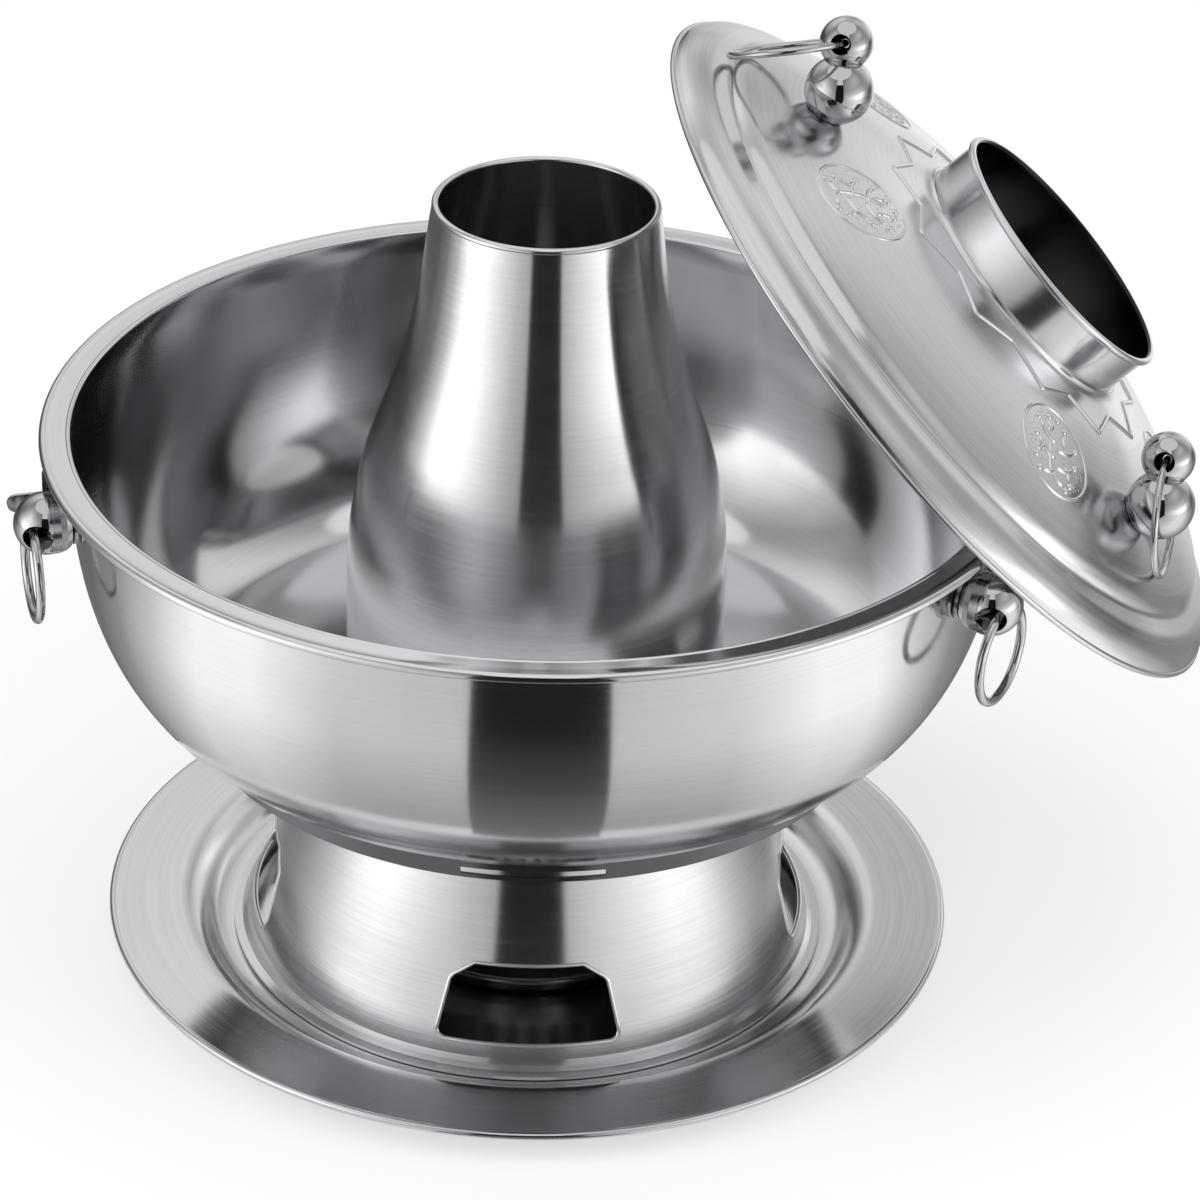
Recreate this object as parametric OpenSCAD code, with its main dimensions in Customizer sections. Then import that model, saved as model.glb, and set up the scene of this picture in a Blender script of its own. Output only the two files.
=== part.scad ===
// Chimney hot pot, parametric model in millimetres.
// A round drip tray carries an ash pan and a cone-shaped stand with four air openings.
// The bowl with its fire tube stands on the stand, and the loose lid leans on the bowl's rim.
// Frame: +Z up, front (the side with the air opening that faces the viewer) towards -Y.
// Origin: centre of the tray's underside, which rests on the table.

/* [Tray] */
// outer radius of the drip tray
tray_r = 142; // [136:0.5:150]
// height of the tray's flange above the table
tray_h = 10.8; // [9:0.2:14]
// inner radius of the tray's flange, where the well begins
flange_r = 115; // [112:0.5:118]
// radius of the ash pan that stands in the well
pan_r = 57; // [45:1:70]
// height of the ash pan
pan_h = 9; // [6:0.5:14]

/* [Stand] */
// radius of the stand's foot hem
stand_foot_r = 100; // [98:0.5:101]
// outer radius of the cone just above the hem
stand_low_r = 94.6; // [93:0.2:95]
// outer radius of the cone at its top edge
stand_top_r = 69.5; // [68:0.5:74]
// width of an air opening along its sill
vent_sill_w = 59.2; // [44:0.4:62]
// width of an air opening below its chamfered corners
vent_shoulder_w = 51; // [38:1:54]
// width of an air opening along its top edge
vent_top_w = 35; // [26:1:40]
// height of the sill above the table
vent_sill_z = 10.1; // [8:0.1:14]
// height of an air opening
vent_h = 25.8; // [18:0.2:30]

/* [Bowl] */
// outer radius of the bowl's rim
rim_r = 160; // [157:0.5:164]
// height of the rim above the table
rim_z = 187.9; // [180:0.1:200]
// width of the rim's flat flange
flange_w = 8.8; // [7:0.2:10.8]
// radius of the bowl's flat bottom
bottom_r = 100; // [97:0.5:103]
// depth of the bowl from rim to flat bottom, outside
bowl_depth = 97; // [92:0.5:100]
// outer radius of the foot band under the bowl
band_r = 112; // [106:0.5:116]

/* [Fire tube] */
// outer radius of the tube at its mouth
tube_top_r = 35.9; // [34:0.1:38]
// height of the tube's mouth above the rim
tube_rise = 77.8; // [70:0.2:90]
// outer radius of the fire drum at the bottom
drum_r = 62; // [60:0.5:62.5]
// width of a slot in the fire grate
grate_slot = 4.2; // [3:0.2:5]

/* [Handles] */
// bearing of the left handle, seen from above
handle_l_at = 195; // [190:1:215]
// bearing of the right handle, seen from above
handle_r_at = 330; // [322:1:332]
// radius of a handle ball
ball_r = 10; // [9:0.1:10.2]
// wire radius of a handle ring
ring_wire = 1.5; // [1.2:0.1:1.7]
// centre-line radius of a handle ring
ring_r = 15.5; // [15:0.1:17]

/* [Lid] */
// outer radius of the lid
lid_r = 134; // [133:0.1:134.2]
// tilt of the leaning lid
lid_tilt = 45.8; // [45:0.1:46.6]
// radius of the circle on which the two lid knobs stand
knob_at = 88; // [84:0.5:90]
// radius of the lower ball of a knob
knob_base_r = 11.2; // [10.4:0.1:11.6]
// radius of the upper ball of a knob
knob_head_r = 8.7; // [8:0.1:9]
// angle between the two knobs, the same as between the bowl's two handles
knob_spread = 135; // [120:1:150]
// lean of the upper ball against the lid's axis
knob_lean = 42; // [32:1:46]
// radius of an embossed medallion
medal_r = 16.5; // [14:0.5:17.5]
// number of medallions
medals = 5; // [3:1:5]
// number of points of the embossed zigzag
star_points = 12; // [8:4:16]

/* [Hidden] */
$fn = 128;
// sheet thickness of tray, stand, bowl and tube
sheet_t = 1.2;
// sheet thickness of the lid
lid_t = 1.0;
// gap between two loose pieces that rest on each other
rest_gap = 0.3;
// gap between two pieces joined within one body
weld_gap = 0.02;
// a bore or cutting box this long passes right through a small piece
far = 40;
steel = [0.78, 0.79, 0.80];
steel_bright = [0.86, 0.87, 0.88];
steel_dark = [0.42, 0.42, 0.43];

// ---- paths for sheet metal: lists of [radius, height] points ----
function unit(v) = v / norm(v);
function left_of(a, b) = let (d = unit(b - a)) [-d[1], d[0]];
function reverse(p) = [for (i = [len(p) - 1 : -1 : 0]) p[i]];
// the path moved sideways by t, to the left of its direction
function beside(p, t) = [
  for (i = [0 : len(p) - 1])
    let (
      before = left_of(p[max(i - 1, 0)], p[max(i, 1)]),
      after = left_of(p[min(i, len(p) - 2)], p[min(i + 1, len(p) - 1)]),
      n = unit(before + after)
    )
    p[i] + n * t / (n * before)
];
function sheet(p, t) = concat(p, reverse(beside(p, t)));
// a rolled edge: a full round of wire radius size, centred at [r, z]
module bead(r, z, size) {
  rotate_extrude()
    translate([r, z])
      circle(r = size, $fn = 28);
}

// ---- tray ----
well_r = flange_r - 11;
edge_bead = 1.3;
tray_path = [
  [0, sheet_t], [well_r - 2, sheet_t], [well_r + 1, sheet_t + 0.5], [well_r + 3.6, sheet_t + 2.2],
  [flange_r - 2.6, tray_h - 1.9], [flange_r - 0.6, tray_h - 0.4], [flange_r + 1.4, tray_h],
  [tray_r - edge_bead, tray_h]
];
module drip_tray() {
  color(steel)
    union() {
      rotate_extrude()
        polygon(sheet(tray_path, -sheet_t));
      bead(tray_r - edge_bead, tray_h - edge_bead + 0.2, edge_bead);
    }
}

pan_z = sheet_t + rest_gap;
pan_bead = 1.1;
pan_path = [
  [0, 1], [pan_r - 9, 1], [pan_r - 6, 1.8], [pan_r - 4.2, 3.6], [pan_r - pan_bead, pan_h - pan_bead]
];
module ash_pan() {
  color(steel_dark)
    translate([0, 0, pan_z])
      union() {
        rotate_extrude()
          polygon(sheet(pan_path, -1));
        bead(pan_r - pan_bead, pan_h - pan_bead, pan_bead);
      }
}

// ---- stand ----
bowl_z = rim_z - bowl_depth;
seat_z = bowl_z - rest_gap;
top_ring_t = 1.5;
skirt_top_z = seat_z - top_ring_t - weld_gap;
foot_z = sheet_t + rest_gap;
skirt_path = [
  [stand_top_r, skirt_top_z], [stand_low_r, foot_z + 4.2], [stand_low_r + 0.9, foot_z + 2.4],
  [stand_low_r + 2.6, foot_z + 1.35], [stand_foot_r, foot_z + sheet_t]
];
vent_top_z = vent_sill_z + vent_h;
vent_chamfer = 6.3;
// the right half of an air opening, from the sill's rounded corner up to the top edge
vent_half = [
  [vent_sill_w / 2 - 2.4, vent_sill_z], [vent_sill_w / 2 - 0.6, vent_sill_z + 0.8],
  [vent_sill_w / 2, vent_sill_z + 2.6], [vent_shoulder_w / 2, vent_top_z - vent_chamfer],
  [vent_shoulder_w / 2 - 1.2, vent_top_z - vent_chamfer + 1.6], [vent_top_w / 2, vent_top_z]
];
module vent_shape() {
  polygon(concat(vent_half, [for (p = reverse(vent_half)) [-p[0], p[1]]]));
}
module stand_skirt() {
  color(steel)
    difference() {
      rotate_extrude()
        polygon(sheet(skirt_path, -sheet_t));
      for (bearing = [0 : 90 : 270])
        rotate([0, 0, bearing])
          translate([0, -stand_top_r + far / 4, 0])
            rotate([90, 0, 0])
              linear_extrude(height = far)
                vent_shape();
    }
}

spigot_gap = 1.3;
top_ring_r = drum_r + spigot_gap;
// the ring's collar inside the cone
spigot_in = 3.6;
spigot_h = 5;
module stand_top_ring() {
  color(steel)
    rotate_extrude() {
      translate([top_ring_r, seat_z - top_ring_t])
        square([stand_top_r + 0.8 - top_ring_r, top_ring_t]);
      translate([stand_top_r - spigot_in, seat_z - top_ring_t - spigot_h])
        square([sheet_t, spigot_h + 0.5]);
    }
}

// ---- bowl ----
wall_r = rim_r - flange_w;
curve_steps = 26;
// the wall is a superellipse with this power, steep under the rim and flat at the bottom
wall_power = 2.6;
function bowl_r_at(d) = bottom_r + (wall_r - bottom_r) * sqrt(1 - pow(d / bowl_depth, wall_power));
function bowl_z_at(r) =
  rim_z - bowl_depth * pow(1 - pow((r - bottom_r) / (wall_r - bottom_r), 2), 1 / wall_power);
// depths close together where the wall turns into the bottom
function bowl_d(i) = bowl_depth * sin(90 * i / curve_steps);
bowl_path = concat(
  [for (i = [0 : curve_steps]) [bowl_r_at(min(bowl_d(i), bowl_depth)), rim_z - bowl_d(i)]],
  [[drum_r + weld_gap, bowl_z]]
);
rim_bead = 1.5;
lip_bead = 0.9;
flange_end = rim_r - rim_bead;
// the flange's top, the wall's inner face, the bottom, the outer face and the flange's underside
bowl_outline = concat(
  [[flange_end, rim_z]],
  beside(bowl_path, -sheet_t),
  [for (i = [len(bowl_path) - 1 : -1 : 1]) bowl_path[i]],
  [[wall_r, rim_z - sheet_t], [flange_end, rim_z - sheet_t]]
);
handle_drop = 17.5;
screw_r = 2;
screw_hole_r = screw_r + weld_gap;
// the bore for a handle's screw, through wall, seat and bracket
module screw_bore() {
  along_x(-far)
    cylinder(r = screw_hole_r, h = far, $fn = 32);
}
module pot_bowl() {
  color(steel_bright)
    difference() {
      union() {
        rotate_extrude()
          polygon(bowl_outline);
        bead(flange_end, rim_z - rim_bead + 0.2, rim_bead);
        bead(wall_r - 0.4, rim_z - 0.6, lip_bead);
      }
      for (side = [0, 1])
        at_handle(side)
          screw_bore();
    }
}

band_drop = 5;
// the band ends just under the bowl's curved wall
band_top_z = bowl_z_at(band_r - sheet_t) - 0.13;
slot_w = 45;
slot_h = 2.4;
// height of the slots above the band's lower edge
slot_up = 1.2;
module foot_band() {
  color(steel_bright)
    difference() {
      rotate_extrude()
        translate([band_r - sheet_t, bowl_z - band_drop])
          square([sheet_t, band_top_z - bowl_z + band_drop]);
      for (bearing = [0 : 90 : 270])
        rotate([0, 0, bearing])
          translate([-slot_w / 2, -band_r - far / 4, bowl_z - band_drop + slot_up])
            cube([slot_w, far, slot_h]);
    }
}

// ---- fire tube, ledge and grate ----
tube_top_z = rim_z + tube_rise;
drum_z = bowl_z - 5;
// the flare below is drawn for a mouth of radius 35.9; a wider mouth widens its upper part alike
wider = tube_top_r - 35.9;
mouth_bead = 1.15;
tube_path = [
  [tube_top_r, tube_top_z - mouth_bead], [36.8 + wider, rim_z + 70], [38.1 + wider, rim_z + 60],
  [39.6 + wider, rim_z + 50], [41.3 + wider, rim_z + 40], [43.5 + wider, rim_z + 30],
  [46.2 + wider, rim_z + 20], [49.5 + wider, rim_z + 10], [53.1, rim_z], [56.3, rim_z - 10],
  [58.7, rim_z - 20], [60.4, rim_z - 30], [61.5, rim_z - 40], [drum_r, rim_z - 52], [drum_r, drum_z]
];
module fire_tube() {
  color(steel)
    union() {
      rotate_extrude()
        polygon(sheet(tube_path, -sheet_t));
      bead(tube_top_r - mouth_bead + 0.1, tube_top_z - mouth_bead, mouth_bead);
    }
}

ledge_z = drum_z + 0.8;
ledge_w = 4.5;
drum_in_r = drum_r - sheet_t - weld_gap;
module grate_ledge() {
  color(steel_dark)
    rotate_extrude()
      translate([drum_in_r - ledge_w, ledge_z])
        square([ledge_w, sheet_t]);
}

grate_z = ledge_z + sheet_t + weld_gap;
grate_t = 3;
grate_r = drum_in_r - 0.4;
grate_pitch = 2 * grate_slot;
grate_border = 8;
// slots on each side of the middle one
side_slots = 5;
module fire_grate() {
  color(steel_dark)
    difference() {
      translate([0, 0, grate_z])
        cylinder(r = grate_r, h = grate_t);
      for (i = [-side_slots : side_slots])
        let (half = sqrt(pow(grate_r - grate_border, 2) - pow(i * grate_pitch, 2)))
          translate([i * grate_pitch - grate_slot / 2, -half, grate_z - 1])
            cube([grate_slot, 2 * half, grate_t + 2]);
    }
}

// ---- handles: local x points outwards, z up, the ball's centre is the origin ----
// distance from the wall to the ball's centre
stand_off = 9.6;
ball_at = bowl_r_at(handle_drop) + stand_off;
handle_z = rim_z - handle_drop;
pivot_x = 4.5;
pivot_z = -1;
plate_t = 1.2;
plate_back = -9.3;
// the ball is cut flat here, where it sits on its seat
ball_back = -1;
seat_back = plate_back + plate_t + weld_gap;
seat_front = ball_back - weld_gap;
module at_handle(side) {
  if (side == 0)
    rotate([0, 0, handle_l_at])
      translate([ball_at, 0, handle_z])
        mirror([0, 1, 0])
          children();
  if (side == 1)
    rotate([0, 0, handle_r_at])
      translate([ball_at, 0, handle_z])
        children();
}
// a piece drawn along z, turned to lie along x, with its start at x = from
module along_x(from) {
  translate([from, 0, 0])
    rotate([0, 90, 0])
      children();
}
module along_y() {
  rotate([90, 0, 0])
    children();
}
module ring_passage(half, wire, bend_r, reach) {
  // straight in the middle, opening towards both ends for the bent wire
  flare_r = wire + rest_gap + bend_r - sqrt(pow(bend_r, 2) - pow(reach, 2));
  along_y()
    cylinder(r = wire + rest_gap, h = 2 * half, center = true, $fn = 32);
  for (end = [0, 180])
    rotate([end, 0, 0])
      rotate([90, 0, 0])
        translate([0, 0, 2])
          cylinder(r1 = wire + rest_gap, r2 = flare_r, h = reach - 2, $fn = 40);
}
module handle_ball() {
  color(steel_bright)
    difference() {
      along_x(0)
        difference() {
          sphere(r = ball_r);
          translate([-far / 2, -far / 2, ball_back - far])
            cube([far, far, far]);
          translate([0, 0, ball_back - 1])
            cylinder(r = screw_hole_r, h = 4.2, $fn = 32);
        }
      translate([pivot_x, 0, pivot_z])
        ring_passage(ball_r + 2, ring_wire, ring_r, ball_r);
    }
}
module handle_seat() {
  color(steel_bright)
    difference() {
      along_x(0)
        rotate_extrude()
          polygon([
            [0, seat_back], [6.4, seat_back], [8, seat_back + 0.7], [9.2, seat_back + 2.3],
            [9.8, seat_back + 4.4], [9.9, seat_front], [0, seat_front]
          ]);
      screw_bore();
    }
}
// the bracket's two ears stand beside the ball: one points outwards, one up
ear_y = 14.4;
ear_t = 1.2;
ear_w = 6;
ear_out = 16;
ear_up = 9;
module ear_end() {
  along_y()
    cylinder(r = ear_w / 2, h = ear_t, $fn = 40);
}
module handle_bracket() {
  color(steel_bright)
    difference() {
      union() {
        along_x(plate_back)
          cylinder(r = 7.5, h = plate_t);
        translate([plate_back, 0, -ear_w / 2])
          cube([plate_t, ear_y + ear_t, ear_w]);
        translate([plate_back, ear_y, -ear_w / 2])
          cube([ear_out, ear_t, ear_w]);
        translate([plate_back + 1.6, ear_y, -ear_w / 2])
          cube([ear_w, ear_t, ear_up + ear_w / 2]);
        translate([plate_back + 1.6 + ear_w / 2, ear_y + ear_t, ear_up])
          ear_end();
        translate([plate_back + ear_out, ear_y + ear_t, 0])
          ear_end();
      }
      screw_bore();
    }
}
module torus(big, small) {
  rotate_extrude()
    translate([big, 0])
      circle(r = small, $fn = 32);
}
module handle_ring() {
  color(steel_bright)
    translate([pivot_x, 0, pivot_z - ring_r])
      rotate([0, 90, 0])
        torus(ring_r, ring_wire);
}
// the wall's inner face lies here, seen from the ball's centre
inside_x = bowl_r_at(handle_drop) - sheet_t - ball_at;
washer_t = 1;
// the wall curves, so a flat washer stands off its middle by this much
washer_gap = 0.32;
washer_x = inside_x - washer_gap - washer_t;
screw_head_t = 2;
driver_slot = 0.9;
handle_washer_r = 4.6;
handle_head_r = 3.6;
// how far a handle's screw reaches past the ball's centre
screw_past = 1.8;
module handle_washer() {
  along_x(washer_x)
    difference() {
      cylinder(r = handle_washer_r, h = washer_t, $fn = 48);
      translate([0, 0, -1])
        cylinder(r = screw_hole_r, h = 3, $fn = 32);
    }
}
module handle_screw() {
  along_x(washer_x - weld_gap - screw_head_t)
    difference() {
      union() {
        cylinder(r = handle_head_r, h = screw_head_t, $fn = 48);
        cylinder(r = screw_r, h = screw_head_t - washer_x + screw_past, $fn = 32);
      }
      translate([-driver_slot / 2, -far / 2, -driver_slot])
        cube([driver_slot, far, 2 * driver_slot]);
    }
}
module handle_screws() {
  color(steel)
    for (side = [0, 1])
      at_handle(side)
        handle_screw();
}
module handle_washers() {
  color(steel)
    for (side = [0, 1])
      at_handle(side)
        handle_washer();
}

// ---- lid: drawn level in its own frame, then leaned on the rim ----
// the lid lies over the right handle: its centre's distance from the tube's axis and its bearing
lid_out = rim_r - 20.4362;
lid_at = handle_r_at - 310.7991;
lid_turn = handle_r_at - 332.2;
lid_spin = -23;
module at_lid() {
  translate([lid_out * cos(lid_at), lid_out * sin(lid_at), lid_z])
    rotate([0, 0, lid_turn])
      rotate([0, lid_tilt, 0])
        rotate([0, 0, lid_spin])
          children();
}
hem_bead = 0.9;
// radius and height of the outer face of a lid of radius 134, from the brim inwards
lid_face = [
  [133.1, 1.2], [132.5, 3.2], [130.8, 5.6], [128.1, 7.9], [124.6, 9.6],
  [117.3, 11.1], [116.6, 12.4], [115.6, 14.2], [113.9, 15.4], [110, 17.2], [105, 19.4], [100, 21.4],
  [95, 23.2], [90, 24.9], [85, 26.4], [80, 27.8], [75, 29.1], [70, 30.3], [65, 31.4], [60, 32.3],
  [56, 32.9], [52, 33.5], [48.6, 34.2], [46.8, 35.2], [46.2, 36.4]
];
lid_path = lid_face * (lid_r / 134);
// distance from a point [radius, height] to one stretch of the lid's outer face
function to_stretch(q, a, b) =
  let (t = max(0, min(1, (q - a) * (b - a) / ((b - a) * (b - a)))))
    norm(q - a - t * (b - a));
function to_face(q) = min([
  for (i = [0 : len(lid_path) - 2]) to_stretch(q, lid_path[i], lid_path[i + 1])
]);
// a point of the pot as [radius, height] in the leaning lid's own frame, with the lid at height z
function in_lid(p, z) =
  let (
    dx = p[0] - lid_out * cos(lid_at), dy = p[1] - lid_out * sin(lid_at), dz = p[2] - z,
    x = cos(lid_turn) * dx + sin(lid_turn) * dy, y = cos(lid_turn) * dy - sin(lid_turn) * dx
  )
    [norm([cos(lid_tilt) * x - sin(lid_tilt) * dz, y]), sin(lid_tilt) * x + cos(lid_tilt) * dz];
// room between the lid's face and the rim's bead, and between it and the right handle's ball
rim_room = rim_bead + lid_t + 0.95;
ball_room = ball_r + lid_t + 0.5;
function lid_clears(z) =
  to_face(in_lid(at_handle_r, z)) >= ball_room && min([
    for (a = [-60 : 2.5 : 60])
      let (b = a + lid_turn + 2.2)
        to_face(in_lid([flange_end * cos(b), flange_end * sin(b), rim_z - rim_bead + 0.2], z))
  ]) >= rim_room;
// the lid is raised in small steps until it clears both
function lid_raised(z) = lid_clears(z) ? z : lid_raised(z + 0.1);
at_handle_r = [ball_at * cos(handle_r_at), ball_at * sin(handle_r_at), handle_z];
lid_z = lid_raised(rim_z + 8.5);
emboss_h = 0.45;
function part_of(p, lo, hi) = [for (q = p) if (q[0] >= lo && q[0] <= hi) q];
module raised_skin(lo, hi) {
  rotate_extrude()
    let (p = part_of(lid_path, lo, hi))
      polygon(concat(beside(p, -emboss_h), reverse(beside(p, lid_t / 2))));
}
star_tip_r = 62.8;
star_notch_r = 53;
star_line = 1.5;
function star(shrink) = [
  for (i = [0 : 2 * star_points - 1])
    let (r = (i % 2 == 0 ? star_tip_r : star_notch_r) - shrink, a = 180 * i / star_points)
      [r * cos(a), r * sin(a)]
];
medal_at = 84;
medal_line = 1;
module lid_shell() {
  color(steel)
    difference() {
      union() {
        rotate_extrude()
          polygon(sheet(lid_path, lid_t));
        bead(lid_r - hem_bead, hem_bead, hem_bead);
        intersection() {
          raised_skin(star_notch_r - 5, star_tip_r + 7);
          linear_extrude(height = far)
            difference() {
              polygon(star(0));
              polygon(star(star_line));
            }
        }
        intersection() {
          raised_skin(medal_at - medal_r - 7, medal_at + medal_r + 5);
          for (i = [0 : medals - 1])
            rotate([0, 0, 90 + i * 360 / medals])
              translate([medal_at, 0, 0])
                linear_extrude(height = far)
                  difference() {
                    circle(r = medal_r);
                    circle(r = medal_r - medal_line);
                  }
        }
      }
      for (side = [0, 1])
        at_knob(side)
          translate([0, 0, -far / 4])
            cylinder(r = screw_hole_r, h = far / 2, $fn = 32);
    }
}

collar_r = 45.1;
collar_low = 29;
collar_top = 52.9;
collar_bead = 1.25;
module lid_collar() {
  color(steel)
    rotate_extrude() {
      translate([collar_r - sheet_t, collar_low])
        square([sheet_t, collar_top - collar_bead - collar_low]);
      translate([collar_r, collar_top - collar_bead])
        circle(r = collar_bead, $fn = 24);
    }
}

// ---- lid knobs ----
knob_h = lookup(knob_at, reverse(lid_path));
knob_slope = atan((lookup(knob_at - 5, reverse(lid_path)) - lookup(knob_at + 5, reverse(lid_path))) / 10);
base_up = knob_base_r - 2;
head_off = knob_base_r + knob_head_r - 4.6;
function knob_bearing(side) = side == 0 ? -90 - knob_spread / 2 : -90 + knob_spread / 2;
// the lid's own frame at a knob: z along the face's normal; side 0 is the left one
module at_knob(side) {
  rotate([0, 0, knob_bearing(side)])
    translate([knob_at, 0, knob_h])
      rotate([0, knob_slope, 0])
        children();
}
base_out = knob_at + base_up * sin(knob_slope);
function base_at(side) = [
  base_out * cos(knob_bearing(side)), base_out * sin(knob_bearing(side)),
  knob_h + base_up * cos(knob_slope)
];
// both upper balls lean the same way, and both rings swing about lines along the lid's own y
lean_dir = [-sin(knob_lean), 0, cos(knob_lean)];
function head_at(side) = base_at(side) + head_off * lean_dir;
dowel_r = 1.5;
dowel_from = 4;
dowel_to = head_off - 3.2;
module knob_dowel(side, grow) {
  translate(base_at(side))
    rotate([0, -knob_lean, 0])
      translate([0, 0, dowel_from - grow])
        cylinder(r = dowel_r + grow, h = dowel_to - dowel_from + 2 * grow, $fn = 32);
}
module knob_base(side) {
  color(steel_bright)
    difference() {
      at_knob(side)
        difference() {
          translate([0, 0, base_up])
            sphere(r = knob_base_r);
          translate([-far / 2, -far / 2, 0.05 - far])
            cube([far, far, far]);
          translate([0, 0, -1])
            cylinder(r = screw_hole_r, h = 8, $fn = 32);
        }
      knob_dowel(side, weld_gap);
    }
}
knob_wire = 1.2;
knob_ring_r = 19;
module knob_head(side) {
  color(steel_bright)
    difference() {
      translate(head_at(side))
        sphere(r = knob_head_r);
      translate(base_at(side))
        sphere(r = knob_base_r + weld_gap);
      knob_dowel(side, weld_gap);
      translate(head_at(side))
        ring_passage(knob_head_r + 2, knob_wire, knob_ring_r, knob_head_r);
    }
}
// distance from a ring's centre line to the face when the ring lies in direction dir
function ring_to_face(side, dir) = min([
  for (turn = [-90 : 6 : 90])
    let (
      out = knob_ring_r * (1 + cos(turn)),
      q = head_at(side) + [out * cos(dir), knob_ring_r * sin(turn), out * sin(dir)]
    )
    to_face([norm([q[0], q[1]]), q[2]])
]);
// the ring is swung away from the face in small steps until its wire just clears it
function ring_rest(side, dir, step) =
  ring_to_face(side, dir) < knob_wire + rest_gap ? ring_rest(side, dir + step, step) : dir;
function ring_dir(side) = side == 0 ? ring_rest(0, -100, -0.25) : ring_rest(1, -60, 0.25);
module knob_ring(side) {
  color(steel_bright)
    translate(head_at(side))
      rotate([0, -ring_dir(side), 0])
        translate([knob_ring_r, 0, 0])
          torus(knob_ring_r, knob_wire);
}
knob_washer_z = -lid_t - 0.2 - washer_t;
knob_washer_r = 5;
knob_head_screw_r = 3.8;
knob_screw_l = 9.5;
module knob_washers() {
  color(steel)
    for (side = [0, 1])
      at_knob(side)
        translate([0, 0, knob_washer_z])
          difference() {
            cylinder(r = knob_washer_r, h = washer_t, $fn = 48);
            translate([0, 0, -1])
              cylinder(r = screw_hole_r, h = 3, $fn = 32);
          }
}
module knob_screws() {
  color(steel)
    for (side = [0, 1])
      at_knob(side)
        translate([0, 0, knob_washer_z - weld_gap - screw_head_t])
          difference() {
            union() {
              cylinder(r = knob_head_screw_r, h = screw_head_t, $fn = 48);
              cylinder(r = screw_r, h = knob_screw_l, $fn = 32);
            }
            translate([-driver_slot / 2, -far / 2, -driver_slot])
              cube([driver_slot, far, 2 * driver_slot]);
          }
}
module knob_dowels() {
  color(steel)
    for (side = [0, 1])
      knob_dowel(side, 0);
}

drip_tray();
ash_pan();
stand_skirt();
stand_top_ring();
pot_bowl();
foot_band();
fire_tube();
grate_ledge();
fire_grate();
at_handle(0) handle_seat();  // handle_seat_l
at_handle(1) handle_seat();  // handle_seat_r
at_handle(0) handle_bracket();  // handle_bracket_l
at_handle(1) handle_bracket();  // handle_bracket_r
at_handle(0) handle_ball();  // handle_ball_l
at_handle(1) handle_ball();  // handle_ball_r
at_handle(0) handle_ring();  // handle_ring_l
at_handle(1) handle_ring();  // handle_ring_r
handle_screws();
handle_washers();
at_lid() lid_shell();
at_lid() lid_collar();
at_lid() knob_base(0);  // knob_base_l
at_lid() knob_base(1);  // knob_base_r
at_lid() knob_head(0);  // knob_head_l
at_lid() knob_head(1);  // knob_head_r
at_lid() knob_ring(0);  // knob_ring_l
at_lid() knob_ring(1);  // knob_ring_r
at_lid() knob_screws();
at_lid() knob_washers();
at_lid() knob_dowels();
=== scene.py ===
# %% [markdown]
# # A chimney hot pot in stainless steel
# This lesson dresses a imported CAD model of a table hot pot: a bowl around a flared fire tube, on a
# cone-shaped stand in a drip tray, with its lid leaning on the rim. The CAD solids give every place
# and size. Here the big spun shells get smooth surfaces, and each surface gets its steel.

import math

import bmesh
import bpy
import numpy as np
from mathutils import Matrix, Vector


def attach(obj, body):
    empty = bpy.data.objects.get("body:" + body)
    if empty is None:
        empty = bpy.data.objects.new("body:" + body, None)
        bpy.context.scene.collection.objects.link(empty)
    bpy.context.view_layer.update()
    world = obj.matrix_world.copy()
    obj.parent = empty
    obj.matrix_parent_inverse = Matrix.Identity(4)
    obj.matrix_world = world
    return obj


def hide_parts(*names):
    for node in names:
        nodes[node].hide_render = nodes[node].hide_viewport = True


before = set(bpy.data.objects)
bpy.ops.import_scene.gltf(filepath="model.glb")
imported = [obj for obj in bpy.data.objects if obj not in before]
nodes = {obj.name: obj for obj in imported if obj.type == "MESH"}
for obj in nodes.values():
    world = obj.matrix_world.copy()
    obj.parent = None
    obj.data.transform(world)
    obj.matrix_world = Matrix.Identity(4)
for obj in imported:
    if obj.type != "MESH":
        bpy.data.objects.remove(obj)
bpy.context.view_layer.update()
MM = 0.001

# %% [markdown]
# ## The camera
# A photograph of round things tells where its camera stood: each circle shows as an ellipse, and
# the ellipses of rim, tube mouth and tray together fix height, distance and lens. This pot was seen
# from about 1.4 m away through a long lens, thirty degrees down and turned two degrees on its side.

# %% Camera
CAMERA_AT = Vector((-0.0163, -1.2227, 0.8173))
CAMERA_YAW = math.radians(1.75)
CAMERA_PITCH = math.radians(29.57)
CAMERA_ROLL = math.radians(2.06)
FOCAL_PX = 4281.0
FRAME_PX = 1200.0
SENSOR_MM = 36.0

forward = Vector((
    math.sin(CAMERA_YAW) * math.cos(CAMERA_PITCH),
    math.cos(CAMERA_YAW) * math.cos(CAMERA_PITCH),
    -math.sin(CAMERA_PITCH),
))
level = Vector((math.cos(CAMERA_YAW), -math.sin(CAMERA_YAW), 0.0))
upright = level.cross(forward)
right = math.cos(CAMERA_ROLL) * level + math.sin(CAMERA_ROLL) * upright
top = math.cos(CAMERA_ROLL) * upright - math.sin(CAMERA_ROLL) * level
lens = bpy.data.cameras.new("camera")
lens.sensor_width = SENSOR_MM
lens.lens = lens.sensor_width * FOCAL_PX / FRAME_PX
camera = bpy.data.objects.new("camera", lens)
camera.matrix_world = Matrix((right, top, -forward)).transposed().to_4x4()
camera.matrix_world.translation = CAMERA_AT
bpy.context.scene.collection.objects.link(camera)
bpy.context.scene.camera = camera
print("lens:", round(lens.lens, 1), "mm")

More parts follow.
